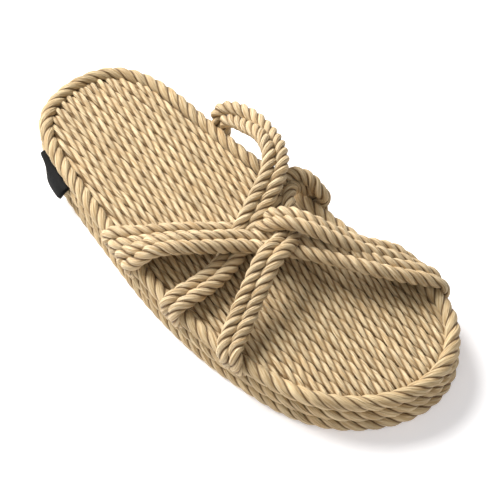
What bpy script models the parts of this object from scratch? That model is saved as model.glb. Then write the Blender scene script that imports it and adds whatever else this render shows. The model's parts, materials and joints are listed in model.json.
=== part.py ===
"""Rope sandal, right foot, as separate solids: two inner mats, three rim
ropes stacked round them, the upper of four woven straps, and a side label.

Lengths are in millimetres until a mesh is made. Toe toward -Y, medial side
toward +X, standing on z = 0.
"""
import bmesh
import bpy
import numpy as np

for old in list(bpy.data.objects):
    bpy.data.objects.remove(old)

MM = 0.001
GAP = 0.3             # clearance between neighbouring pieces
NOTCH_GAP = 0.5       # clearance of a strap end in the notch it lies in

# The rope that makes the rims and the straps.
ROPE = 7.55           # diameter
RIM_PITCH = ROPE + GAP
RIM_SECTIONS = 72
RIM_SIDES = 10
FLOOR_CUT = 0.35      # how much the lowest rope is pressed flat by standing

# The two mats inside the rims.
FOOTBED_CREST = 21.4
FOOTBED_VALLEY = 20.0
FOOTBED_UNDERSIDE = 10.6
ROW_WIDTH = 4.7       # one laid footbed rope
ROW_REACH = 60.0      # the rows cover this much on either side
ROW_HALF_LENGTH = 140.0
TRIM = 5.0            # how far cutting shapes reach past what they cut
MAT_POINTS = 72

# A strap is two ropes side by side.
STRAP_SPACING = 7.0   # between the two rope centres
LOBE_POINTS = 7
STRAP_SECTIONS = 34
SLANT = 1.2           # steepest crossing of the rim, as a slope

LABEL_START = 80.5    # distance of its front end toward the heel
LABEL_LENGTH = 29.0
LABEL_REACH = 6.0
LABEL_DROP = 5.0
LABEL_THICKNESS = 1.4

# Outer edge of the sole: distance toward the heel, then the x of each side.
OUTLINE = [
    # y,    medial, lateral
    (134.0, 10.7, -8.6),
    (128.0, 24.5, -22.6),
    (115.0, 34.0, -33.1),
    (94.0, 38.6, -40.2),
    (67.0, 38.4, -46.2),
    (40.0, 38.0, -51.2),
    (13.0, 38.9, -55.9),
    (-14.0, 39.4, -58.7),
    (-40.0, 40.1, -59.1),
    (-67.0, 42.7, -56.6),
    (-88.0, 44.8, -52.6),
    (-108.0, 41.5, -43.5),
    (-121.5, 33.2, -31.3),
    (-132.0, 18.1, -13.6),
]
HEEL_END = (2.4, 135.0)
TOE_END = (1.6, -135.0)

# How a strap end is held by the rim: distance outward from the middle of
# the rim rope, height, and how far the ropes are pressed flat. A tight end
# comes over the top rope. A loop stands up from the outside of it.
OVER_RIM = [
    # outward, z,   thickness
    (1.6, 26.2, 0.86),
    (4.2, 23.2, 0.72),
    (4.4, 19.2, 0.60),
    (3.3, 16.0, 0.56),
    (1.6, 13.8, 0.56),
]
BESIDE_RIM = [
    (5.9, 25.0, 0.90),
    (5.2, 20.2, 0.68),
    (3.8, 16.4, 0.58),
    (1.6, 13.8, 0.56),
]

# Centre lines of the straps between their hooks. The last three columns
# point from the first rope of the pair to the second.
STRAPS = {
    "rear to front, toe side": {
        "start": ("lateral", 19.5, 1, OVER_RIM),
        "end": ("medial", -95.5, 1, OVER_RIM),
        "rows": [
            # x,  y,    z,    ax,   ay,   az
            (-45.5, 9.0, 34.0, 0.55, 0.80, -0.3),
            (-30.0, -6.0, 37.5, 0.64, 0.77, -0.2),
            (-12.0, -18.0, 33.8, 0.64, 0.77, -0.1),
            (6.0, -42.0, 35.0, 0.64, 0.77, -0.1),
            (20.0, -68.0, 35.5, 0.64, 0.77, -0.2),
            (32.0, -84.0, 32.0, 0.6, 0.8, -0.2),
        ],
    },
    "rear to front, heel side": {
        "start": ("lateral", 33.2, 1, OVER_RIM),
        "end": ("medial", -82.2, 1, OVER_RIM),
        "rows": [
            (-42.0, 20.0, 29.5, 0.55, 0.80, -0.1),
            (-24.0, 5.0, 30.0, 0.64, 0.77, -0.2),
            (-5.0, -9.0, 28.0, 0.64, 0.77, -0.2),
            (8.0, -29.0, 44.0, 0.64, 0.77, -0.2),
            (24.0, -58.0, 37.0, 0.64, 0.77, -0.4),
            (37.0, -72.0, 30.5, 0.6, 0.8, -0.3),
        ],
    },
    "slack loop to middle": {
        "start": ("medial", 55.5, 1, BESIDE_RIM),
        "end": ("lateral", -19.0, -1, OVER_RIM),
        "rows": [
            (41.8, 50.8, 30.5, 0.3, 0.8, 0.3),
            (41.8, 39.2, 36.0, 0.65, 0.2, 0.4),
            (38.6, 20.9, 42.5, 0.75, -0.1, -0.25),
            (27.2, -0.4, 46.0, 0.7, -0.7, -0.1),
            (9.5, -9.5, 41.0, 0.5, -0.87, 0.0),
            (-3.0, -13.0, 34.5, 0.5, -0.87, 0.05),
            (-14.0, -15.5, 27.4, 0.5, -0.87, 0.08),
            (-35.0, -21.0, 27.3, 0.4, -0.9, 0.08),
        ],
    },
    "side to front": {
        "start": ("medial", -16.5, -1, BESIDE_RIM),
        "end": ("lateral", -60.0, 1, OVER_RIM),
        "rows": [
            (39.2, -14.2, 28.5, 0.3, -0.75, 0.4),
            (36.4, -10.2, 32.2, 0.5, -0.2, 0.75),
            (32.3, -7.6, 34.6, 0.35, 0.45, 0.75),
            (27.1, -7.6, 35.8, -0.2, 0.8, 0.5),
            (20.9, -11.3, 36.0, -0.55, 0.75, 0.2),
            (15.0, -18.5, 35.2, -0.6, 0.8, 0.05),
            (4.0, -33.5, 36.4, -0.5, 0.87, 0.0),
            (-10.0, -39.0, 42.0, -0.5, 0.87, 0.0),
            (-31.0, -46.0, 34.0, -0.5, 0.87, 0.0),
            (-49.0, -54.0, 28.5, -0.35, 0.93, 0.0),
        ],
    },
}


def unit(v):
    return v / np.linalg.norm(v, axis=-1, keepdims=True)


def smooth_curve(points, count, closed):
    """Cubic spline through the points, its parameter the square root of the
    chord, evaluated at evenly spaced parameters. A closed curve repeats the
    slope and bend where it meets itself; an open one ends straight."""
    p = np.asarray(points, float)
    if closed:
        p = np.vstack([p, p[:1]])
    chord = np.linalg.norm(np.diff(p[:, :3], axis=0), axis=1)
    knot = np.concatenate([[0.0], np.cumsum(chord if closed else np.sqrt(chord))])
    h = np.diff(knot)
    slope = np.diff(p, axis=0) / h[:, None]
    n = len(p)
    system = np.zeros((n, n))
    right = np.zeros_like(p)
    for i in range(1, n - 1):
        system[i, i - 1:i + 2] = h[i - 1], 2 * (h[i - 1] + h[i]), h[i]
        right[i] = 6 * (slope[i] - slope[i - 1])
    if closed:
        system[0, 0] = 1
        system[0, -1] = -1
        system[-1, :2] = 2 * h[0], h[0]
        system[-1, -2:] = h[-1], 2 * h[-1]
        right[-1] = 6 * (slope[0] - slope[-1])
    else:
        system[0, 0] = 1
        system[-1, -1] = 1
    bend = np.linalg.solve(system, right)
    at = np.linspace(0, knot[-1], count, endpoint=not closed)
    k = np.clip(np.searchsorted(knot, at, side="right") - 1, 0, n - 2)
    a = (at - knot[k])[:, None]
    b = (knot[k + 1] - at)[:, None]
    hk = h[k][:, None]
    return (
        bend[k] * b ** 3 / (6 * hk) + bend[k + 1] * a ** 3 / (6 * hk)
        + (p[k] / hk - bend[k] * hk / 6) * b
        + (p[k + 1] / hk - bend[k + 1] * hk / 6) * a
    )


def sole_edge(inset, count):
    """Evenly spaced points round the sole, moved inward by the inset, and
    the outward directions there. The order is anticlockwise from above."""
    medial = [(m, y) for y, m, _ in OUTLINE]
    lateral = [(x, y) for y, _, x in OUTLINE]
    ring = [HEEL_END] + lateral + [TOE_END] + medial[::-1]
    fine = smooth_curve(ring, 2400, True)
    step = unit(np.roll(fine, -1, 0) - np.roll(fine, 1, 0))
    outward = np.column_stack([step[:, 1], -step[:, 0]])
    moved = fine - outward * inset
    length = np.linalg.norm(np.roll(moved, -1, 0) - moved, axis=1)
    run = np.concatenate([[0.0], np.cumsum(length)])
    at = np.linspace(0, run[-1], count, endpoint=False)
    pick = np.searchsorted(run, at, side="right") - 1
    return moved[pick], outward[pick]


def rim_height(row):
    return ROPE / 2 - FLOOR_CUT + row * RIM_PITCH


def strap_path(strap, count):
    """Centre, pair direction and thickness along one strap, from the hook
    at its start to the hook at its end. A strap that meets the rim aslant
    crosses the top rope aslant too."""
    edge, outward = sole_edge(ROPE / 2, 2400)
    hooks = []
    for end, nearest in (("start", strap["rows"][0]), ("end", strap["rows"][-1])):
        side, y, sign, hook = strap[end]
        wrong_side = (edge[:, 0] > 0) != (side == "medial")
        i = int(np.argmin(np.abs(edge[:, 1] - y) + 500 * wrong_side))
        out = outward[i]
        along = np.array([-out[1], out[0]])
        arrives = np.array(nearest[:2]) - edge[i]
        slant = np.clip(arrives @ along / max(-(arrives @ out), 1.0), -SLANT, SLANT)
        farthest = max(reach for reach, _, _ in hook)
        pair = np.append(along * sign * np.sign(along[1]), 0.0)
        rows = []
        for reach, z, thick in hook:
            aside = slant * (farthest - reach) if z > rim_height(2) else 0.0
            x, y = edge[i] + out * reach + along * aside
            rows.append((x, y, z, *pair, thick))
        hooks.append(rows)
    middle = [(*row, 1.0) for row in strap["rows"]]
    path = smooth_curve(hooks[0][::-1] + middle + hooks[1], count, False)
    return path[:, :3], path[:, 3:6], path[:, 6]


def material(name, colour, roughness):
    made = bpy.data.materials.new(name)
    made.use_nodes = True
    shader = made.node_tree.nodes["Principled BSDF"]
    shader.inputs["Base Color"].default_value = (*colour, 1.0)
    shader.inputs["Roughness"].default_value = roughness
    shader.inputs["Metallic"].default_value = 0.0
    return made


def solid(name, points, faces, made_of, smooth):
    """One closed body from points in millimetres, faces turned outward."""
    mesh = bpy.data.meshes.new(name)
    mesh.from_pydata([tuple(p) for p in np.asarray(points) * MM], [], faces)
    body = bmesh.new()
    body.from_mesh(mesh)
    bmesh.ops.recalc_face_normals(body, faces=body.faces)
    bmesh.ops.triangulate(body, faces=body.faces)
    body.to_mesh(mesh)
    body.free()
    if made_of:
        mesh.materials.append(made_of)
    mesh.polygons.foreach_set("use_smooth", [smooth] * len(mesh.polygons))
    made = bpy.data.objects.new(name, mesh)
    bpy.context.collection.objects.link(made)
    return made


def tube(name, sections, closed, made_of=None):
    """Skin over an array of cross-sections, each a ring of points."""
    count, sides, _ = sections.shape
    faces = []
    for i in range(count if closed else count - 1):
        for j in range(sides):
            k = (j + 1) % sides
            n = (i + 1) % count
            faces.append((i * sides + j, i * sides + k, n * sides + k, n * sides + j))
    if not closed:
        faces.append(tuple(range(sides)))
        faces.append(tuple(range((count - 1) * sides, count * sides)))
    return solid(name, sections.reshape(-1, 3), faces, made_of, True)


def cut_or_join(target, other, operation, solver="EXACT"):
    """Boolean of two objects, applied; the second one is used up."""
    step = target.modifiers.new("join", "BOOLEAN")
    step.operation = operation
    step.solver = solver
    step.object = other
    other.hide_render = True
    other.display_type = "WIRE"
    seen = target.evaluated_get(bpy.context.evaluated_depsgraph_get())
    mesh = bpy.data.meshes.new_from_object(seen)
    target.modifiers.clear()
    target.data = mesh
    bpy.data.objects.remove(other)


def fill_pockets(target):
    """Drop the shells of small pockets that crossing ropes close off."""
    body = bmesh.new()
    body.from_mesh(target.data)
    left = set(body.verts)
    islands = []
    while left:
        found = [left.pop()]
        for vert in found:
            near = {edge.other_vert(vert) for edge in vert.link_edges} & left
            left -= near
            found.extend(near)
        islands.append(found)
    islands.sort(key=len)
    for island in islands[:-1]:
        bmesh.ops.delete(body, geom=island, context="VERTS")
    body.to_mesh(target.data)
    body.free()


def prism(name, inset, low, high, made_of=None):
    """Upright block whose plan is the sole edge moved inward."""
    edge, _ = sole_edge(inset, MAT_POINTS)
    n = len(edge)
    points = [(*p, z) for z in (low, high) for p in edge]
    faces = [tuple(range(n)), tuple(range(n, 2 * n))]
    faces += [(i, (i + 1) % n, n + (i + 1) % n, n + i) for i in range(n)]
    return solid(name, points, faces, made_of, False)


def strap_sections(strap, clearance):
    """Sections of a doubled rope: two overlapping circles side by side,
    flattened by the thickness, turned to the strap's pair direction."""
    centre, across, thick = strap_path(strap, STRAP_SECTIONS)
    along = unit(np.gradient(centre, axis=0))
    across = unit(across - along * np.sum(across * along, axis=1)[:, None])
    over = np.cross(along, across)
    radius = ROPE / 2 + clearance
    half = STRAP_SPACING / 2
    waist = np.arccos(half / radius)
    sweep = np.linspace(waist - np.pi, np.pi - waist, LOBE_POINTS + 1)[:-1]
    u = np.concatenate([half + radius * np.cos(sweep), -half - radius * np.cos(sweep)])
    v = np.concatenate([radius * np.sin(sweep), -radius * np.sin(sweep)])
    ends = np.zeros(len(centre))
    ends[0] = -clearance
    ends[-1] = clearance
    centre = centre + along * ends[:, None]
    # The clearance is kept whole where the ropes are pressed flat.
    flat = (thick * ROPE / 2 + clearance) / radius
    return (
        centre[:, None]
        + across[:, None] * u[None, :, None]
        + over[:, None] * (v[None, :] * flat[:, None])[..., None]
    )


rope_colour = (0.56, 0.40, 0.23)
laid_colour = (0.52, 0.36, 0.20)
strap_rope = material("strap rope, three-strand, beige", rope_colour, 0.85)
rim_rope = material("rim rope, three-strand, beige", rope_colour, 0.85)
footbed_rope = material("thin laid rope, beige", laid_colour, 0.88)
outsole_rope = material("laid rope underside, beige", laid_colour, 0.9)
label_weave = material("woven label tape, black", (0.015, 0.015, 0.017), 0.7)

# Rims: three closed ropes one above the other along the edge of the sole.
edge, outward = sole_edge(ROPE / 2, RIM_SECTIONS)
turn = np.arange(RIM_SIDES) * 2 * np.pi / RIM_SIDES
rims = []
for row, name in enumerate(("rim_rope_bottom", "rim_rope_middle", "rim_rope_top")):
    ring = np.zeros((RIM_SECTIONS, RIM_SIDES, 3))
    ring[:, :, :2] = edge[:, None] + outward[:, None] * (ROPE / 2 * np.cos(turn))[:, None]
    ring[:, :, 2] = np.maximum(rim_height(row) + ROPE / 2 * np.sin(turn), 0.0)
    rims.append(tube(name, ring, True, rim_rope))

# The upper: four straps, joined into one body where they cross and where
# two of them run side by side. Each is let into the two upper rims.
upper = None
for strap in STRAPS.values():
    for rim in rims[1:]:
        notch = tube("notch", strap_sections(strap, NOTCH_GAP), False)
        # The exact solver leaves one of the eight notches uncut.
        cut_or_join(rim, notch, "DIFFERENCE", "MANIFOLD")
    band = tube("upper_straps", strap_sections(strap, 0.0), False, strap_rope)
    if upper is None:
        upper = band
    else:
        cut_or_join(upper, band, "UNION")
fill_pockets(upper)

# Mats inside the rims. The footbed's ropes lie lengthwise, so its top is a
# row of ridges, cut to the sole's plan.
inset = ROPE + GAP
outsole = prism("outsole_mat", inset, 0.0, FOOTBED_UNDERSIDE - GAP, outsole_rope)
profile = []
rows = int(np.ceil(ROW_REACH / ROW_WIDTH))
rise = FOOTBED_CREST - FOOTBED_VALLEY
for k in range(-rows, rows + 1):
    for part, lift in ((-0.5, 0.0), (-0.28, 0.72), (0.0, 1.0), (0.28, 0.72)):
        profile.append(((k + part) * ROW_WIDTH, FOOTBED_VALLEY + rise * lift))
below = FOOTBED_UNDERSIDE - TRIM
profile += [(profile[-1][0], below), (profile[0][0], below)]
ends = (-ROW_HALF_LENGTH, ROW_HALF_LENGTH)
slab = tube("slab", np.array([[(x, y, z) for x, z in profile] for y in ends]), False)
footbed = prism("footbed_mat", inset, FOOTBED_UNDERSIDE, FOOTBED_CREST + TRIM, footbed_rope)
cut_or_join(footbed, slab, "INTERSECT")

# Label: a folded tape standing out of the groove between the upper rims on
# the lateral side of the heel.
edge, outward = sole_edge(0.0, 200)
label_end = LABEL_START + LABEL_LENGTH
on_label = (edge[:, 0] < 0) & (edge[:, 1] > LABEL_START) & (edge[:, 1] < label_end)
line = edge[on_label]
out = outward[on_label]
groove = rim_height(2) - RIM_PITCH / 2
profile = [
    # outward, height above the groove
    (-1.2, LABEL_THICKNESS / 2),
    (1.6, LABEL_THICKNESS / 2),
    (LABEL_REACH, LABEL_THICKNESS / 2 - LABEL_DROP),
    (LABEL_REACH - LABEL_THICKNESS, -LABEL_DROP),
    (0.9, -LABEL_THICKNESS / 2),
    (-1.2, -LABEL_THICKNESS / 2),
]
label = np.zeros((len(line), len(profile), 3))
for j, (reach, rise) in enumerate(profile):
    label[:, j, :2] = line + out * reach
    label[:, j, 2] = groove + rise
label = tube("side_label", label, False, label_weave)
for face in label.data.polygons:
    face.use_smooth = False

# Bring the middle of the bounding box over the origin.
bpy.context.view_layer.update()
bodies = [o for o in bpy.data.objects if o.type == "MESH"]
corners = []
for body in bodies:
    points = np.empty(len(body.data.vertices) * 3)
    body.data.vertices.foreach_get("co", points)
    corners.append(points.reshape(-1, 3))
everything = np.vstack(corners)
shift = (everything.min(0) + everything.max(0)) / 2
shift[2] = everything[:, 2].min()
for body, points in zip(bodies, corners):
    body.data.vertices.foreach_set("co", (points - shift).ravel())
    body.data.update()
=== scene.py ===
"""Looks of the rope sandal. Each rope of the rims, the footbed, the underside
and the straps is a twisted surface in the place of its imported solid, and the
label is a folded woven tape. Lengths are in millimetres up to the mesh."""
import json

import bpy
import numpy as np
from mathutils import Matrix, Vector

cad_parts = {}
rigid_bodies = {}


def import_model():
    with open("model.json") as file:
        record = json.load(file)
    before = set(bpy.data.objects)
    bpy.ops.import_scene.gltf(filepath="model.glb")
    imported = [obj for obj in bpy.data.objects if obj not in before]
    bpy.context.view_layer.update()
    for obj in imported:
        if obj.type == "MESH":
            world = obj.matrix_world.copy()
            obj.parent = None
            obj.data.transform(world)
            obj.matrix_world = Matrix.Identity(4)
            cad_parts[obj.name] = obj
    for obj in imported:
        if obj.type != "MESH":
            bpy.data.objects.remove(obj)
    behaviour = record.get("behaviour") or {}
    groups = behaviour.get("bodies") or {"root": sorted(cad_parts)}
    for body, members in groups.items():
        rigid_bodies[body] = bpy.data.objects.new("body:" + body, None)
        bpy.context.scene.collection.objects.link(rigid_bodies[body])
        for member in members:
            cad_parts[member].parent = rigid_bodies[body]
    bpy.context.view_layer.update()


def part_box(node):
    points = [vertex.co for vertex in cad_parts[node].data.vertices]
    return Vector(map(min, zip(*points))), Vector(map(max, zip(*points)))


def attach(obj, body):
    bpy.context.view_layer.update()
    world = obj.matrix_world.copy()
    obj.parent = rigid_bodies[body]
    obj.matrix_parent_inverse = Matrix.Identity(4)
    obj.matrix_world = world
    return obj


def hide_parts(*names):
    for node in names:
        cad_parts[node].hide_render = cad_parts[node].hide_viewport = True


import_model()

# The view. The photograph looks down at the toe and the lateral side from
# about fifty degrees. The camera stands where that one stood and is turned
# and zoomed onto the one shoe.
camera_data = bpy.data.cameras.new("camera")
camera_data.sensor_width = 36.0
camera_data.lens = 133.0
camera_data.clip_start = 0.05
camera = bpy.data.objects.new("camera", camera_data)
bpy.context.collection.objects.link(camera)
stands_at = Vector((-0.36255, -0.45177, 0.72532))
looks_at = Vector((0.005, -0.012, 0.013))
roll = np.radians(-3.19)
turned = (looks_at - stands_at).to_track_quat("-Z", "Y").to_matrix().to_4x4()
camera.matrix_world = (
    Matrix.Translation(stands_at) @ turned @ Matrix.Rotation(roll, 4, "Z")
)
bpy.context.scene.camera = camera

# The floor and the light. A sweep of matt white paper glows a little, as a
# bright ground does. A broad soft box behind the heel gives the soft shadows
# toward the toe, and a weak one and the white room fill the rest.
METRE = 1000.0        # in millimetres
FLOOR_SIZE = 6000.0
LAMP_TINT = (1.0, 0.985, 0.96)


def linear(code):
    """Linear colour from an sRGB hex code."""
    value = np.array([int(code[i:i + 2], 16) for i in (1, 3, 5)]) / 255
    bright = ((value + 0.055) / 1.055) ** 2.4
    return (*np.where(value <= 0.04045, value / 12.92, bright).tolist(), 1.0)


def add(tree, kind, inputs=None, **settings):
    """Add a node. The inputs give a value or another node's output for a
    socket's name or number."""
    made = tree.nodes.new(kind)
    for key, value in settings.items():
        setattr(made, key, value)
    for socket, value in (inputs or {}).items():
        if isinstance(value, bpy.types.NodeSocket):
            tree.links.new(value, made.inputs[socket])
        else:
            made.inputs[socket].default_value = value
    return made


def new_material(name, settings):
    """A material with its Principled shader's fixed sockets set."""
    made = bpy.data.materials.new(name)
    made.use_nodes = True
    shader = made.node_tree.nodes["Principled BSDF"]
    for socket, value in settings.items():
        shader.inputs[socket].default_value = value
    return made, made.node_tree, shader


paper, tree, shader = new_material("white paper sweep, matt", {
    "Base Color": linear("#F4F4F5"), "Roughness": 0.9,
    "Emission Color": linear("#F6F6FF"), "Emission Strength": 0.32,
})
half = FLOOR_SIZE / 2 / METRE
mesh = bpy.data.meshes.new("floor")
mesh.from_pydata(
    [(-half, -half, 0), (half, -half, 0), (half, half, 0), (-half, half, 0)],
    [], [(0, 1, 2, 3)],
)
mesh.materials.append(paper)
floor = bpy.data.objects.new("floor", mesh)
bpy.context.collection.objects.link(floor)

for name, place, size, power in (
    ("soft box behind the heel", (-0.14, 1.85, 1.68), 2.0, 132.0),
    ("soft box above the toe", (-0.9, -0.8, 1.7), 1.6, 6.0),
):
    lamp = bpy.data.lights.new(name, "AREA")
    lamp.shape = "DISK"
    lamp.size = size
    lamp.energy = power
    lamp.color = LAMP_TINT
    light = bpy.data.objects.new(name, lamp)
    light.location = place
    light.rotation_euler = (-Vector(place)).to_track_quat("-Z", "Y").to_euler()
    bpy.context.collection.objects.link(light)

room = bpy.data.worlds.new("white room")
room.use_nodes = True
room.node_tree.nodes["Background"].inputs["Color"].default_value = linear("#FFFBF4")
room.node_tree.nodes["Background"].inputs["Strength"].default_value = 0.32
bpy.context.scene.world = room
bpy.context.scene.view_settings.view_transform = "Standard"


# Rim ropes. Three rounds of three-strand rope lie one above the other along
# the edge of the sole and are sewn together through their strands. The rope
# is twisted from smooth polypropylene yarn, right-handed.
ROPE = 7.55           # diameter
RIM_RADIUS = 3.98     # sewn tight, so the rounds press against each other
RIM_PITCH = 7.85      # height from one round to the next
FLOOR_CUT = 0.35      # how much lower the lowest round lies than a round rope
RIM_LAY = 23.6        # length of one whole turn of a strand
RIM_OFF = 0.36        # a strand's middle off the rope's axis, share of the radius
RIM_SECTIONS = 840
ROUND_TURN = 2.1      # each round starts this much further on, in radians
RIM_PATTERN = 900.0   # more than a round's length, so that no two look alike
STRANDS = 3
PER_STRAND = 10       # points round a strand
PATTERN_STEP = 20.0   # from one strand's pattern to the next one's
SWELL = 0.03          # an open rope's strands swell and shrink by this share
SWELL_WAVE = 27.0
END_DOME = 0.6        # a cut end bulges by this share of a section's step
OUTLINE_POINTS = 7200
OUTLINE = [
    # y,    medial, lateral
    (134.0, 10.7, -8.6),
    (128.0, 24.5, -22.6),
    (115.0, 34.0, -33.1),
    (94.0, 38.6, -40.2),
    (67.0, 38.4, -46.2),
    (40.0, 38.0, -51.2),
    (13.0, 38.9, -55.9),
    (-14.0, 39.4, -58.7),
    (-40.0, 40.1, -59.1),
    (-67.0, 42.7, -56.6),
    (-88.0, 44.8, -52.6),
    (-108.0, 41.5, -43.5),
    (-121.5, 33.2, -31.3),
    (-132.0, 18.1, -13.6),
]
HEEL_END = (2.4, 135.0)
TOE_END = (1.6, -135.0)


def unit(v):
    """The vectors at length one."""
    return v / np.linalg.norm(v, axis=-1, keepdims=True)


def smooth_curve(points, count, closed):
    """Cubic spline through the points, its parameter the square root of the
    chord on an open curve and the chord on a closed one. The second
    derivatives at the points solve one linear system, in which an open
    curve ends straight and a closed one repeats its slope and bend."""
    p = np.asarray(points, float)
    if closed:
        p = np.vstack([p, p[:1]])
    chord = np.linalg.norm(np.diff(p[:, :3], axis=0), axis=1)
    knot = np.concatenate([[0.0], np.cumsum(chord if closed else np.sqrt(chord))])
    h = np.diff(knot)
    slope = np.diff(p, axis=0) / h[:, None]
    n = len(p)
    system = np.zeros((n, n))
    right = np.zeros_like(p)
    inner = np.arange(1, n - 1)
    system[inner, inner - 1] = h[:-1]
    system[inner, inner] = 2 * (h[:-1] + h[1:])
    system[inner, inner + 1] = h[1:]
    right[inner] = 6 * np.diff(slope, axis=0)
    if closed:
        system[0, 0] = 1
        system[0, -1] = -1
        system[-1, :2] = 2 * h[0], h[0]
        system[-1, -2:] = h[-1], 2 * h[-1]
        right[-1] = 6 * (slope[0] - slope[-1])
    else:
        system[0, 0] = 1
        system[-1, -1] = 1
    bend = np.linalg.solve(system, right)
    at = np.linspace(0, knot[-1], count, endpoint=not closed)
    k = np.clip(np.searchsorted(knot, at, side="right") - 1, 0, n - 2)
    a = (at - knot[k])[:, None]
    b = (knot[k + 1] - at)[:, None]
    hk = h[k][:, None]
    return (
        bend[k] * b ** 3 / (6 * hk) + bend[k + 1] * a ** 3 / (6 * hk)
        + (p[k] / hk - bend[k] * hk / 6) * b
        + (p[k + 1] / hk - bend[k + 1] * hk / 6) * a
    )


def sole_edge(inset, count):
    """Evenly spaced points round the sole, moved inward by the inset along
    the outline's normal, the outward directions there, and the length."""
    medial = [(m, y) for y, m, _ in OUTLINE]
    lateral = [(x, y) for y, _, x in OUTLINE]
    ring = [HEEL_END] + lateral + [TOE_END] + medial[::-1]
    fine = smooth_curve(ring, OUTLINE_POINTS, True)
    step = unit(np.roll(fine, -1, 0) - np.roll(fine, 1, 0))
    outward = np.column_stack([step[:, 1], -step[:, 0]])
    moved = fine - outward * inset
    length = np.linalg.norm(np.roll(moved, -1, 0) - moved, axis=1)
    run = np.concatenate([[0.0], np.cumsum(length)])
    at = np.linspace(0, run[-1], count, endpoint=False)
    pick = np.searchsorted(run, at, side="right") - 1
    return moved[pick], outward[pick], run[-1]


def rim_height(row):
    """Height of the middle of a rim rope, counted from the floor up."""
    return ROPE / 2 - FLOOR_CUT + row * RIM_PITCH


def wander(at, reach, wave, seed):
    """A slow irregular swing along the given lengths: the sum of three
    sines whose heights and wave lengths stand as 1 to 0.62 to 0.41. The
    seed gives their angles and up to 15 percent of each wave length."""
    luck = np.random.default_rng(seed)
    total = np.zeros(np.shape(at))
    for share in (1.0, 0.62, 0.41):
        stretch = wave * share * luck.uniform(0.85, 1.15)
        total += share * np.sin(2 * np.pi * at / stretch + luck.uniform(0, 2 * np.pi))
    return reach * total / 1.5


def rope_surface(path, side, turn, run, radius, per_strand, off, flat=1.0, seed=0,
                 closed=False):
    """Three-strand rope along a path. In each cross-section a strand is a
    circle of radius a = (1 - off) R, set c = off R off the rope's axis, so
    its outline is r = c cos d + root of (a squared - (c sin d) squared) at
    the angle d from the strand's middle. Two strands meet in a sharp groove
    at d = 60 degrees. The sections turn along the path by the given angles,
    and across the side direction they are thinned to the share flat.
    Returns the points, the pattern coordinates of the faces' two long edges
    and the crest, which is 0 in a groove and 1 on a strand's middle."""
    nearby = np.roll(path, -1, 0) - np.roll(path, 1, 0)
    along = unit(nearby if closed else np.gradient(path, axis=0))
    side = unit(side - along * np.sum(side * along, axis=1)[:, None])
    over = np.cross(along, side)
    u = np.linspace(-1, 1, per_strand + 1)
    d = np.pi / 3 * np.sin(u * np.pi / 2)
    centre = off * radius
    strand = (1 - off) * radius
    r = centre * np.cos(d) + np.sqrt(strand ** 2 - (centre * np.sin(d)) ** 2)
    strand_at = np.arange(STRANDS)[:, None] * 2 * np.pi / STRANDS
    angle = (strand_at + d[:-1]).ravel()[None] + turn[:, None]
    swell = np.ones((len(run), STRANDS))
    if not closed:
        for k in range(STRANDS):
            swell[:, k] += wander(run, SWELL, SWELL_WAVE, seed + k)
    reach = np.tile(r[:-1], STRANDS)[None] * np.repeat(swell, per_strand, axis=1)
    flat = np.broadcast_to(np.asarray(flat, float), run.shape)
    points = (
        path[:, None]
        + side[:, None] * (reach * np.cos(angle))[..., None]
        + over[:, None] * (reach * np.sin(angle) * flat[:, None])[..., None]
    )
    beside = np.arange(STRANDS)[:, None] * PATTERN_STEP
    left = (beside + d[:-1] * radius).ravel()
    right = (beside + d[1:] * radius).ravel()
    crest = ((r - r.min()) / (r.max() - r.min()))[:-1]
    return points, left, right, np.tile(crest, (len(run), STRANDS))


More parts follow.
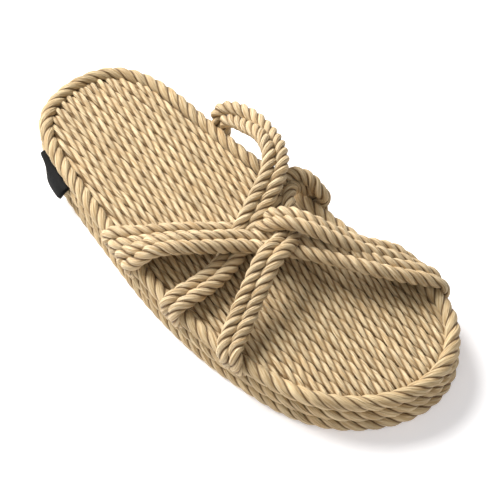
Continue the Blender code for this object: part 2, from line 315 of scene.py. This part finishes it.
def rope_mesh(name, ropes, made_of):
    """One mesh from several rope surfaces. The faces join each section to
    the next one, a closed rope's last section to its first, and an open
    rope is shut at each end by a fan of triangles. A rope is its points, its
    faces' pattern coordinates on the left and the right, its crest, the run
    along it, its length if it is closed, and where its pattern starts."""
    points = []
    crests = []
    corners = []
    sizes = []
    pattern = []
    base = 0
    for grid, left, right, crest, run, length, start in ropes:
        count, sides, _ = grid.shape
        closed = length is not None
        i = np.arange(count if closed else count - 1)[:, None]
        j = np.arange(sides)[None]
        k = (j + 1) % sides
        here = base + i * sides
        there = base + (i + 1) % count * sides
        quads = np.stack([here + j, here + k, there + k, there + j], axis=-1)
        beyond = np.append(run[1:], length) if closed else run[1:]
        u0 = np.broadcast_to((start + run)[i], quads.shape[:2])
        u1 = np.broadcast_to((start + beyond)[i], quads.shape[:2])
        v0 = np.broadcast_to(left[j], quads.shape[:2])
        v1 = np.broadcast_to(right[j], quads.shape[:2])
        corner = np.stack([
            np.stack([u0, v0], -1), np.stack([u0, v1], -1),
            np.stack([u1, v1], -1), np.stack([u1, v0], -1),
        ], axis=2)
        points.append(grid.reshape(-1, 3))
        crests.append(crest.reshape(-1))
        corners.append(quads.reshape(-1))
        sizes.append(np.full(quads.shape[0] * quads.shape[1], 4))
        pattern.append(corner.reshape(-1, 2))
        rope_base = base
        base += count * sides
        if closed:
            continue
        for row, inner, flip in ((0, 1, 1), (count - 1, count - 2, 0)):
            pole = grid[row].mean(0)
            points.append((pole + END_DOME * (pole - grid[inner].mean(0)))[None])
            crests.append(np.zeros(1))
            ring = rope_base + row * sides
            one = ring + (j[0] + flip) % sides
            other = ring + (j[0] + 1 - flip) % sides
            fan = np.stack([np.full(sides, base), one, other], axis=-1)
            corners.append(fan.reshape(-1))
            sizes.append(np.full(sides, 3))
            at = np.full(sides, start + run[row])
            tip = np.stack([at, (left + right) / 2], -1)
            edges = [np.stack([at, v], -1) for v in (left, right)]
            if flip:
                edges.reverse()
            pattern.append(np.stack([tip, *edges], axis=1).reshape(-1, 2))
            base += 1
    points = np.concatenate(points) / METRE
    corners = np.concatenate(corners)
    sizes = np.concatenate(sizes)
    mesh = bpy.data.meshes.new(name)
    mesh.vertices.add(len(points))
    mesh.vertices.foreach_set("co", points.ravel().astype(np.float32))
    mesh.loops.add(len(corners))
    mesh.loops.foreach_set("vertex_index", corners.astype(np.int32))
    mesh.polygons.add(len(sizes))
    mesh.polygons.foreach_set("loop_start", (np.cumsum(sizes) - sizes).astype(np.int32))
    mesh.polygons.foreach_set("use_smooth", np.ones(len(sizes), bool))
    mesh.update(calc_edges=True)
    laid = mesh.uv_layers.new(name="along and round, mm")
    laid.uv.foreach_set("vector", np.concatenate(pattern).ravel().astype(np.float32))
    groove = mesh.attributes.new("crest", "FLOAT", "POINT")
    groove.data.foreach_set("value", np.concatenate(crests).astype(np.float32))
    mesh.validate()
    mesh.materials.append(made_of)
    made = bpy.data.objects.new(name, mesh)
    bpy.context.collection.objects.link(made)
    return made


YARN_SLANT = 0.45     # how far the yarns step aside for each step along
YARN_LENGTH = 14.0
FIBRE = 0.45          # width of a streak, coarser than the real 0.05 mm fibre
FIBRE_LENGTH = 6.0


def rope_material(name, light, body, groove_shade_and_dust, yarn, groove):
    """Twisted polypropylene rope. A strand is a bundle of yarns, and each
    yarn a bundle of fibres, so soft ridges of the yarn's width cross the
    strand aslant with fine bright streaks on them. The fibres are drawn
    broader than the real 0.05 mm so that they show. The grooves between the
    strands get a darker colour, up to the crest that groove gives: painted
    shade, with some dust."""
    made, tree, shader = new_material(name, {
        "IOR": 1.49, "Sheen Weight": 0.18, "Sheen Roughness": 0.4,
        "Sheen Tint": linear("#FFF3DC"),
    })
    laid = add(tree, "ShaderNodeUVMap", uv_map="along and round, mm")
    split = add(tree, "ShaderNodeSeparateXYZ", {0: laid.outputs[0]})
    # The yarns are twisted the other way, which turns them half way back
    # toward the rope's own direction.
    skew = add(tree, "ShaderNodeMath", {
        0: split.outputs["X"], 1: YARN_SLANT, 2: split.outputs["Y"],
    }, operation="MULTIPLY_ADD")

    def streaks(width, length, detail):
        """Noise of the given width in mm, drawn out along the yarns to the
        given length."""
        across = add(tree, "ShaderNodeMath", {
            0: skew.outputs[0], 1: 1 / width,
        }, operation="MULTIPLY")
        lengthwise = add(tree, "ShaderNodeMath", {
            0: split.outputs["X"], 1: 1 / length,
        }, operation="MULTIPLY")
        place = add(tree, "ShaderNodeCombineXYZ", {
            0: lengthwise.outputs[0], 1: across.outputs[0],
        })
        return add(tree, "ShaderNodeTexNoise", {
            "Vector": place.outputs[0], "Scale": 1.0, "Detail": detail,
            "Roughness": 0.6,
        }, noise_dimensions="2D")

    yarns = streaks(yarn, YARN_LENGTH, 1.0)
    fibres = streaks(FIBRE, FIBRE_LENGTH, 3.0)
    # Tone changes slowly along each strand.
    stretch = add(tree, "ShaderNodeVectorMath", {
        0: laid.outputs[0], 1: (1 / 21.0, 1 / 9.0, 1.0),
    }, operation="MULTIPLY")
    tone = add(tree, "ShaderNodeTexNoise", {
        "Vector": stretch.outputs[0], "Scale": 1.0, "Detail": 2.0,
    }, noise_dimensions="2D")
    shade = add(tree, "ShaderNodeMapRange", {
        "Value": tone.outputs["Fac"], "From Min": 0.3, "From Max": 0.7,
        "To Min": 0.84, "To Max": 1.08,
    })
    # Yarns and fibres together pick between the two yarn colours.
    coarse = add(tree, "ShaderNodeMath", {
        0: yarns.outputs["Fac"], 1: 0.55,
    }, operation="MULTIPLY")
    mixed = add(tree, "ShaderNodeMath", {
        0: fibres.outputs["Fac"], 1: 0.45, 2: coarse.outputs[0],
    }, operation="MULTIPLY_ADD")
    streak = add(tree, "ShaderNodeMapRange", {
        "Value": mixed.outputs[0], "From Min": 0.36, "From Max": 0.62,
    })
    blend = add(tree, "ShaderNodeMix", {
        0: streak.outputs[0], 6: linear(body), 7: linear(light),
    }, data_type="RGBA")
    toned = add(tree, "ShaderNodeVectorMath", {
        0: blend.outputs[2], 1: shade.outputs[0],
    }, operation="MULTIPLY")
    # Painted shade, with some dust: where the crest is low, in the grooves, the colour
    # turns to the darker one, and it fades out toward each strand's middle.
    crest = add(tree, "ShaderNodeAttribute", attribute_name="crest")
    depth = add(tree, "ShaderNodeMapRange", {
        "Value": crest.outputs["Fac"], "From Min": 0.0, "From Max": groove,
    }, interpolation_type="SMOOTHSTEP")
    colour = add(tree, "ShaderNodeMix", {
        0: depth.outputs[0], 6: linear(groove_shade_and_dust), 7: toned.outputs[0],
    }, data_type="RGBA")
    tree.links.new(colour.outputs[2], shader.inputs["Base Color"])
    rough = add(tree, "ShaderNodeMapRange", {
        "Value": fibres.outputs["Fac"], "To Min": 0.8, "To Max": 0.56,
    })
    tree.links.new(rough.outputs[0], shader.inputs["Roughness"])
    ridges = add(tree, "ShaderNodeBump", {
        "Height": yarns.outputs["Fac"], "Strength": 0.9, "Distance": 0.0011,
    })
    relief = add(tree, "ShaderNodeBump", {
        "Height": fibres.outputs["Fac"], "Strength": 0.8, "Distance": 0.00045,
        "Normal": ridges.outputs[0],
    })
    tree.links.new(relief.outputs[0], shader.inputs["Normal"])
    return made


rim_rope = rope_material(
    "polypropylene rope, three-strand, twisted", "#DDC79E", "#B69668", "#62451F",
    yarn=1.25, groove=0.55,
)
edge, outward, length = sole_edge(RIM_RADIUS, RIM_SECTIONS)
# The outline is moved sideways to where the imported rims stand.
rim_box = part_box("rim_rope_bottom")
middle_x = (rim_box[0].x + rim_box[1].x) / 2 * METRE
reached_x = sole_edge(0.0, RIM_SECTIONS)[0][:, 0]
shift = np.array([middle_x - (reached_x.max() + reached_x.min()) / 2, 0.0, 0.0])
turns = round(length / RIM_LAY)
run = np.arange(RIM_SECTIONS) * length / RIM_SECTIONS
side = np.column_stack([outward, np.zeros(RIM_SECTIONS)])
for row, name in enumerate(("rim_rope_bottom", "rim_rope_middle", "rim_rope_top")):
    path = np.column_stack([edge, np.full(RIM_SECTIONS, rim_height(row))]) + shift
    turn = 2 * np.pi * (turns * run / length) + ROUND_TURN * row
    grid, left, right, crest = rope_surface(
        path, side, turn, run, RIM_RADIUS, PER_STRAND, RIM_OFF, closed=True
    )
    grid[..., 2] = np.maximum(grid[..., 2], 0.0)
    piece = rope_mesh(
        f"{name}_strands",
        [(grid, left, right, crest, run, length, RIM_PATTERN * row)], rim_rope,
    )
    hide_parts(name)
    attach(piece, "root")


# Footbed. Thinner rope of the same yarn is laid heel to toe in close rows
# and sewn side to side. Its rows end under the top rim rope. Their strands
# step from row to row, which draws the slanting rows of grains.
ROW_WIDTH = 4.7
ROW_RADIUS = 2.55     # the rows are squeezed into each other
ROW_FLAT = 0.95
ROW_OFF = 0.47
ROW_PATTERN = 300.0
FOOTBED_CREST = 21.4
INSET = ROPE - 1.6    # the rows end under the rim rope
SINK = 2.6            # how far they bend down there
SINK_OVER = 4.2       # and over what length
SIDE_ROOM = 1.0       # an outermost row's middle may lie this far outside
SIDE_MARGIN = 0.4     # its ends are taken this far inside
LENGTHWISE = (-80.0, 115.0)       # y at the forefoot and the heel
MARK_PITCH = (7.8, 9.5)           # from one strand to the next, at those two
ROW_STEP = (0.5, 0.13)            # share of a pitch from row to row, likewise
FIRST_PITCH = 9.2     # counts the marks from the heel's end to a row's start
CORE_INSET = 6.0
CORE_BOTTOM = 2.6
CORE_TOP = 18.2
CORE_POINTS = 240
CORE_ROUNDING = 0.1


def row_span(ring, x):
    """The ends, toward the toe and the heel, of the lengthwise line at x
    inside the ring, found where the ring crosses that x."""
    after = np.roll(ring, -1, 0)
    cross = (ring[:, 0] - x) * (after[:, 0] - x) <= 0
    share = (x - ring[cross, 0]) / (after[cross, 0] - ring[cross, 0] + 1e-9)
    y = ring[cross, 1] + share * (after[cross, 1] - ring[cross, 1])
    return y.min(), y.max()


def laid_rows(height, under, step, per_strand, seed):
    """Rows of rope across the sole, their middles at the given height. A
    mark is a third of a turn, where the next strand comes up. Its pitch
    shrinks from 9.5 mm at the heel to 7.8 mm at the forefoot, and each row's
    marks step on from its neighbour's by a share of a pitch. Near the rim a
    row bends down where under is -1, and up where it is 1, by SINK times
    (1 - the distance inside INSET over SINK_OVER) to the power 1.6."""
    inner = sole_edge(INSET, 3600)[0]
    brim = sole_edge(0.0, 720)[0]
    least = inner[:, 0].min()
    most = inner[:, 0].max()
    first = int(np.ceil((least - SIDE_ROOM) / ROW_WIDTH))
    last = int(np.floor((most + SIDE_ROOM) / ROW_WIDTH))
    ropes = []
    for k in range(first, last + 1):
        x = k * ROW_WIDTH
        low, high = row_span(inner, np.clip(x, least + SIDE_MARGIN, most - SIDE_MARGIN))
        y = np.linspace(high, low, max(int((high - low) / step), 8))
        run = high - y
        pitch = np.interp(y, LENGTHWISE, MARK_PITCH)
        passed = np.cumsum(-np.diff(y) / (pitch[1:] + pitch[:-1]) * 2)
        marks = np.concatenate([[0.0], passed])
        marks += (HEEL_END[1] - high) / FIRST_PITCH
        offset = np.interp(y, LENGTHWISE, ROW_STEP)
        luck = wander(y, 0.06, 90.0, seed + k + 100)
        turn = 2 * np.pi / STRANDS * (marks + k * offset + luck)
        sway = x + wander(y, 0.22, 60.0, seed + k + 300)
        apart = np.column_stack([sway, y])[:, None] - brim[None]
        inside = np.sqrt(np.min(np.sum(apart ** 2, axis=-1), axis=1))
        sink = SINK * (1 - np.clip((inside - INSET) / SINK_OVER, 0, 1)) ** 1.6
        lift = height + under * sink + wander(y, 0.12, 40.0, seed + k + 200)
        path = np.column_stack([sway, y, lift]) + shift
        side = np.broadcast_to([1.0, 0.0, 0.0], path.shape)
        grid, left, right, crest = rope_surface(
            path, side, turn, run, ROW_RADIUS, per_strand, ROW_OFF,
            flat=ROW_FLAT, seed=seed + k,
        )
        # A row is painted darker toward its sides, where it meets its neighbours:
        # painted shade between the rows.
        rise = np.abs(grid[..., 2] - lift[:, None]) / (ROW_RADIUS * ROW_FLAT)
        crest = crest * np.clip((rise + 0.05) / 0.55, 0, 1)
        ropes.append((grid, left, right, crest, run, None, ROW_PATTERN * (k - first)))
    return ropes


footbed_rope = rope_material(
    "polypropylene rope, thin, laid and sewn", "#E9D5AE", "#C4A577", "#8B6B40",
    yarn=1.0, groove=0.85,
)
rows = laid_rows(
    FOOTBED_CREST - ROW_RADIUS * ROW_FLAT, under=-1.0, step=1.2, per_strand=8, seed=1000
)
# The layer that the rows are sewn to closes the sole between them and the
# underside: a slab inside the outline, from about the middle of the lower
# rows to that of the upper ones.
ring = sole_edge(CORE_INSET, CORE_POINTS)[0]
levels = np.array([
    CORE_BOTTOM, CORE_BOTTOM + CORE_ROUNDING, CORE_TOP - CORE_ROUNDING, CORE_TOP,
])
core = np.stack([np.column_stack([ring, np.full(CORE_POINTS, z)]) for z in levels])
around = np.arange(CORE_POINTS + 1) * 3.0
# Its crest is 0 all over, so it takes the rope's darker groove colour everywhere:
# painted shade, with some dust, in the gaps where it shows.
rows.append((
    core + shift, around[:-1], around[1:], np.zeros(core.shape[:2]), levels, None, 0.0,
))
footbed = rope_mesh("footbed_rows", rows, footbed_rope)
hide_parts("footbed_mat")
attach(footbed, "root")


# Underside. The same thin rope, laid the same way, is what the sandal walks
# on. It lies flat on the floor and is a little duller there. Its rows are
# drawn with fewer faces, since only their lower side can be seen.
outsole_rope = rope_material(
    "polypropylene rope, thin, trodden flat", "#CDB891", "#A99067", "#57442A",
    yarn=1.0, groove=0.85,
)
rows = laid_rows(ROW_RADIUS * ROW_FLAT, under=1.0, step=2.4, per_strand=4, seed=3000)
for grid, *_ in rows:
    grid[..., 2] = np.maximum(grid[..., 2], 0.0)
underside = rope_mesh("underside_rows", rows, outsole_rope)
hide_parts("outsole_mat")
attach(underside, "root")


# Upper. Each of the four straps is the rim's rope doubled, the two ropes
# side by side. They weave over and under each other in pairs, and every end
# is pulled over the top rim rope and sewn fast in the groove below it.
STRAP_SPACING = 6.45  # less than the rope's width: the two press together
STRAP_LAY = 17.6      # the straps are twisted harder than the rims
STRAP_OFF = 0.42
STRAP_STEP = 0.9      # from section to section
STRAP_PATTERN = 400.0
STRAP_SEED = 5000
SLANT = 1.2           # the most an end goes aside for each mm inward
OVER_RIM = [
    # outward, z,   thickness
    (1.6, 26.2, 0.86),
    (4.2, 23.2, 0.72),
    (4.4, 19.2, 0.60),
    (3.3, 16.0, 0.56),
    (1.6, 13.8, 0.56),
]
BESIDE_RIM = [
    (5.9, 25.0, 0.90),
    (5.2, 20.2, 0.68),
    (3.8, 16.4, 0.58),
    (1.6, 13.8, 0.56),
]
# An end is its side of the sole, its y, the way its pair lies, and its hook.
STRAPS = {
    "rear to front, toe side": {
        "start": ("lateral", 19.5, 1, OVER_RIM),
        "end": ("medial", -95.5, 1, OVER_RIM),
        "rows": [
            # x,  y,    z,    ax,   ay,   az, the way across the pair
            (-45.5, 9.0, 34.0, 0.55, 0.80, -0.3),
            (-30.0, -6.0, 37.5, 0.64, 0.77, -0.2),
            (-12.0, -18.0, 33.8, 0.64, 0.77, -0.1),
            (6.0, -42.0, 35.0, 0.64, 0.77, -0.1),
            (20.0, -68.0, 35.5, 0.64, 0.77, -0.2),
            (32.0, -84.0, 32.0, 0.6, 0.8, -0.2),
        ],
    },
    "rear to front, heel side": {
        "start": ("lateral", 33.2, 1, OVER_RIM),
        "end": ("medial", -82.2, 1, OVER_RIM),
        "rows": [
            (-42.0, 20.0, 29.5, 0.55, 0.80, -0.1),
            (-24.0, 5.0, 30.0, 0.64, 0.77, -0.2),
            (-5.0, -9.0, 28.0, 0.64, 0.77, -0.2),
            (8.0, -29.0, 44.0, 0.64, 0.77, -0.2),
            (24.0, -58.0, 37.0, 0.64, 0.77, -0.4),
            (37.0, -72.0, 30.5, 0.6, 0.8, -0.3),
        ],
    },
    "slack loop to middle": {
        "start": ("medial", 55.5, 1, BESIDE_RIM),
        "end": ("lateral", -19.0, -1, OVER_RIM),
        "rows": [
            (41.8, 50.8, 30.5, 0.3, 0.8, 0.3),
            (41.8, 39.2, 36.0, 0.65, 0.2, 0.4),
            (38.6, 20.9, 42.5, 0.75, -0.1, -0.25),
            (27.2, -0.4, 46.0, 0.7, -0.7, -0.1),
            (9.5, -9.5, 41.0, 0.5, -0.87, 0.0),
            (-3.0, -13.0, 34.5, 0.5, -0.87, 0.05),
            (-14.0, -15.5, 27.4, 0.5, -0.87, 0.08),
            (-35.0, -21.0, 27.3, 0.4, -0.9, 0.08),
        ],
    },
    "side to front": {
        "start": ("medial", -16.5, -1, BESIDE_RIM),
        "end": ("lateral", -60.0, 1, OVER_RIM),
        "rows": [
            (39.2, -14.2, 28.5, 0.3, -0.75, 0.4),
            (36.4, -10.2, 32.2, 0.5, -0.2, 0.75),
            (32.3, -7.6, 34.6, 0.35, 0.45, 0.75),
            (27.1, -7.6, 35.8, -0.2, 0.8, 0.5),
            (20.9, -11.3, 36.0, -0.55, 0.75, 0.2),
            (15.0, -18.5, 35.2, -0.6, 0.8, 0.05),
            (4.0, -33.5, 36.4, -0.5, 0.87, 0.0),
            (-10.0, -39.0, 42.0, -0.5, 0.87, 0.0),
            (-31.0, -46.0, 34.0, -0.5, 0.87, 0.0),
            (-49.0, -54.0, 28.5, -0.35, 0.93, 0.0),
        ],
    },
}


def strap_path(strap, count):
    """Centre, pair direction and thickness along one strap, from the hook
    at its start to the hook at its end. A strap that meets the rim aslant
    crosses the top rope aslant too."""
    edge, outward, _ = sole_edge(ROPE / 2, 2400)
    hooks = []
    for end, nearest in (("start", strap["rows"][0]), ("end", strap["rows"][-1])):
        side, y, sign, hook = strap[end]
        wrong_side = (edge[:, 0] > 0) != (side == "medial")
        i = int(np.argmin(np.abs(edge[:, 1] - y) + 500 * wrong_side))
        out = outward[i]
        along = np.array([-out[1], out[0]])
        arrives = np.array(nearest[:2]) - edge[i]
        slant = np.clip(arrives @ along / max(-(arrives @ out), 1.0), -SLANT, SLANT)
        farthest = max(reach for reach, _, _ in hook)
        pair = np.append(along * sign * np.sign(along[1]), 0.0)
        rows = []
        for reach, z, thick in hook:
            aside = slant * (farthest - reach) if z > rim_height(2) else 0.0
            x, y = edge[i] + out * reach + along * aside
            rows.append((x, y, z, *pair, thick))
        hooks.append(rows)
    middle = [(*row, 1.0) for row in strap["rows"]]
    path = smooth_curve(hooks[0][::-1] + middle + hooks[1], count, False)
    return path[:, :3], path[:, 3:6], path[:, 6]


def even(path, extra, step):
    """The path and what goes with it at even distances along the path."""
    length = np.linalg.norm(np.diff(path, axis=0), axis=1)
    run = np.concatenate([[0.0], np.cumsum(length)])
    at = np.linspace(0.0, run[-1], int(run[-1] / step) + 1)
    columns = np.column_stack([path, extra])
    return at, np.stack([np.interp(at, run, c) for c in columns.T], axis=1)


strap_rope = rope_material(
    "polypropylene rope, three-strand, in straps", "#E6D1AB", "#BF9F71", "#6B4D26",
    yarn=1.25, groove=0.7,
)
ropes = []
for number, strap in enumerate(STRAPS.values()):
    centre, across, thick = strap_path(strap, 900)
    along = unit(np.gradient(centre, axis=0))
    across = unit(across - along * np.sum(across * along, axis=1)[:, None])
    for member in (-1, 1):
        path = centre + across * member * STRAP_SPACING / 2 + shift
        run, made = even(path, np.column_stack([across, thick]), STRAP_STEP)
        seed = STRAP_SEED + 20 * number + member
        phase = np.random.default_rng(seed).uniform(0, 2 * np.pi)
        turn = 2 * np.pi * run / STRAP_LAY + phase
        grid, left, right, crest = rope_surface(
            made[:, :3], made[:, 3:6], turn, run, ROPE / 2, PER_STRAND, STRAP_OFF,
            flat=made[:, 6], seed=seed,
        )
        ropes.append((grid, left, right, crest, run, None, STRAP_PATTERN * len(ropes)))
upper = rope_mesh("upper_straps_strands", ropes, strap_rope)
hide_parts("upper_straps")
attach(upper, "root")


# Stray fibres. A few fibres of the yarns have worked loose and stand out of
# the ropes as short curved hairs. They are drawn about three times as thick
# as the real 0.05 mm so that they show.
FIBRE_RADIUS = 0.07
FIBRE_SECTIONS = 6
FIBRE_SIDES = 3
LOWEST_FIBRE = 7.0    # none grows lower than this above the floor
ROOT_DEPTH = 0.2      # a hair starts this far under the surface


def stray_fibres(piece, count, seed):
    """Hairs on a piece. Each leaves the surface at a random point, at the
    angle theta to it, and turns steadily by kappa over its length, so it is
    an arc of a circle: along s it goes sin(theta + kappa t) - sin theta and
    along the normal cos theta - cos(theta + kappa t), both over kappa. It is
    a three-sided tube that narrows toward its tip."""
    luck = np.random.default_rng(seed)
    mesh = piece.data
    at = np.empty(len(mesh.vertices) * 3, np.float32)
    facing = np.empty_like(at)
    mesh.vertices.foreach_get("co", at)
    mesh.vertices.foreach_get("normal", facing)
    at = at.reshape(-1, 3).astype(float) * METRE
    facing = facing.reshape(-1, 3).astype(float)
    free = np.flatnonzero((at[:, 2] > LOWEST_FIBRE) & (facing[:, 2] > -0.2))
    hairs = []
    t = np.linspace(0, 1, FIBRE_SECTIONS)
    around = np.arange(FIBRE_SIDES) * 2 * np.pi / FIBRE_SIDES
    wide = np.arange(FIBRE_SIDES + 1) * 0.1
    crest = np.ones((FIBRE_SECTIONS, FIBRE_SIDES))
    for i in luck.choice(free, count, replace=False):
        normal = facing[i]
        s = unit(np.cross(normal, luck.normal(size=3)))
        theta = luck.uniform(0.15, 0.8)
        kappa = -luck.uniform(0.3, 1.6)
        length = luck.uniform(3.0, 8.0)
        bent = theta + kappa * t
        path = at[i] - ROOT_DEPTH * normal + length / kappa * (
            s * (np.sin(bent) - np.sin(theta))[:, None]
            + normal * (np.cos(theta) - np.cos(bent))[:, None]
        )
        side = normal * np.cos(bent)[:, None] - s * np.sin(bent)[:, None]
        over = np.cross(s, normal)
        thick = FIBRE_RADIUS * (1 - 0.6 * t)[:, None, None]
        grid = path[:, None] + thick * (
            side[:, None] * np.cos(around)[None, :, None]
            + over * np.sin(around)[None, :, None]
        )
        hairs.append((grid, wide[:-1], wide[1:], crest, t * length, None, 0.0))
    return hairs


hairs = []
for name, count, seed in (
    ("upper_straps_strands", 260, 71),
    ("footbed_rows", 90, 72),
    ("rim_rope_top_strands", 90, 73),
    ("rim_rope_middle_strands", 40, 74),
):
    hairs += stray_fibres(bpy.data.objects[name], count, seed)
fibres = rope_mesh("stray_fibres", hairs, strap_rope)
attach(fibres, "root")


# Label. A short woven tape, folded double, is sewn into the groove below the
# top rim rope on the lateral side of the heel. The half toward the heel lies
# close and level, and the half toward the toe stands out and hangs over.
LABEL_LENGTH = 29.0
LABEL_FROM = 80.5
LABEL_THICKNESS = 1.1
LABEL_SECTIONS = 41
LABEL_ACROSS = 14     # points from the groove to the fold
LABEL_ROOT = 1.2      # it starts this far inside the outline
LABEL_GIRTH = 16.0    # round the tape, in the pattern


def tape_grid():
    """Folded tape as a closed profile carried along the groove. At the share
    a of its way out the profile has gone down by droop times a to the power
    2.2, and it turns back round its fold. Its reach and its droop grow from
    small to large by one logistic step, on the way from heel to toe."""
    edge, outward, _ = sole_edge(0.0, 3600)
    on_side = (edge[:, 0] < 0) & (edge[:, 1] > LABEL_FROM)
    on_side &= edge[:, 1] < LABEL_FROM + LABEL_LENGTH
    pick = np.linspace(0, on_side.sum() - 1, LABEL_SECTIONS).astype(int)
    line = edge[on_side][pick]
    out = outward[on_side][pick]
    front = np.linspace(0, 1, LABEL_SECTIONS)
    turned_out = 1 / (1 + np.exp(-(front - 0.42) / 0.07))
    reach = 2.2 + 3.2 * turned_out
    droop = 0.6 + 4.2 * turned_out
    corner = 1 - 0.16 * np.abs(2 * front - 1) ** 14
    a = np.linspace(0, 1, LABEL_ACROSS)
    out_top = -LABEL_ROOT + (reach * corner + LABEL_ROOT)[:, None] * a
    up_top = -droop[:, None] * a ** 2.2
    thick = LABEL_THICKNESS / 2 * (1 + 0.5 * np.sin(np.pi * a)) * (1 - 0.6 * a ** 6)
    steep = np.arctan(droop[:, None] * 2.2 * a ** 1.2 / (reach[:, None] + LABEL_ROOT))
    ripple = 0.18 * np.sin(front * 9.0)[:, None] * a
    rings = []
    for way in (1, -1):
        o = out_top + way * thick * np.sin(steep)
        z = up_top + way * thick * np.cos(steep) + ripple
        rings.append(np.stack([o, z], -1))
    ring = np.concatenate([rings[0], rings[1][:, ::-1]], axis=1)
    groove = rim_height(2) - RIM_PITCH / 2
    grid = np.zeros((LABEL_SECTIONS, ring.shape[1], 3))
    grid[..., :2] = line[:, None] + out[:, None] * ring[..., :1]
    grid[..., 2] = groove + ring[..., 1]
    return grid + shift, front


label_weave, tree, shader = new_material("polyester tape, woven, black", {
    "Roughness": 0.55, "IOR": 1.5, "Sheen Weight": 0.04, "Sheen Roughness": 0.5,
    "Specular IOR Level": 0.1,
})
# Warp and weft threads, nearly 0.6 mm apart and so coarser than a real
# label's, give the dull grain of the tape.
laid = add(tree, "ShaderNodeUVMap", uv_map="along and round, mm")
warp = add(tree, "ShaderNodeTexWave", {
    "Vector": laid.outputs[0], "Scale": 0.55, "Distortion": 0.4, "Detail": 1.0,
}, bands_direction="X")
weft = add(tree, "ShaderNodeTexWave", {
    "Vector": laid.outputs[0], "Scale": 0.55, "Distortion": 0.4, "Detail": 1.0,
}, bands_direction="Y")
weave = add(tree, "ShaderNodeMath", {
    0: warp.outputs["Fac"], 1: weft.outputs["Fac"],
}, operation="MULTIPLY")
lint = add(tree, "ShaderNodeTexNoise", {
    "Vector": laid.outputs[0], "Scale": 0.5, "Detail": 3.0,
}, noise_dimensions="2D")
colour = add(tree, "ShaderNodeMix", {
    0: lint.outputs["Fac"], 6: linear("#030303"), 7: linear("#0D0D0E"),
}, data_type="RGBA")
tree.links.new(colour.outputs[2], shader.inputs["Base Color"])
relief = add(tree, "ShaderNodeBump", {
    "Height": weave.outputs[0], "Strength": 0.7, "Distance": 0.0002,
})
tree.links.new(relief.outputs[0], shader.inputs["Normal"])
grid, front = tape_grid()
wide = np.linspace(0, LABEL_GIRTH, grid.shape[1] + 1)
label = rope_mesh("side_label_tape", [(
    grid, wide[:-1], wide[1:], np.ones(grid.shape[:2]), front * LABEL_LENGTH,
    None, 0.0,
)], label_weave)
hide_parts("side_label")
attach(label, "root")
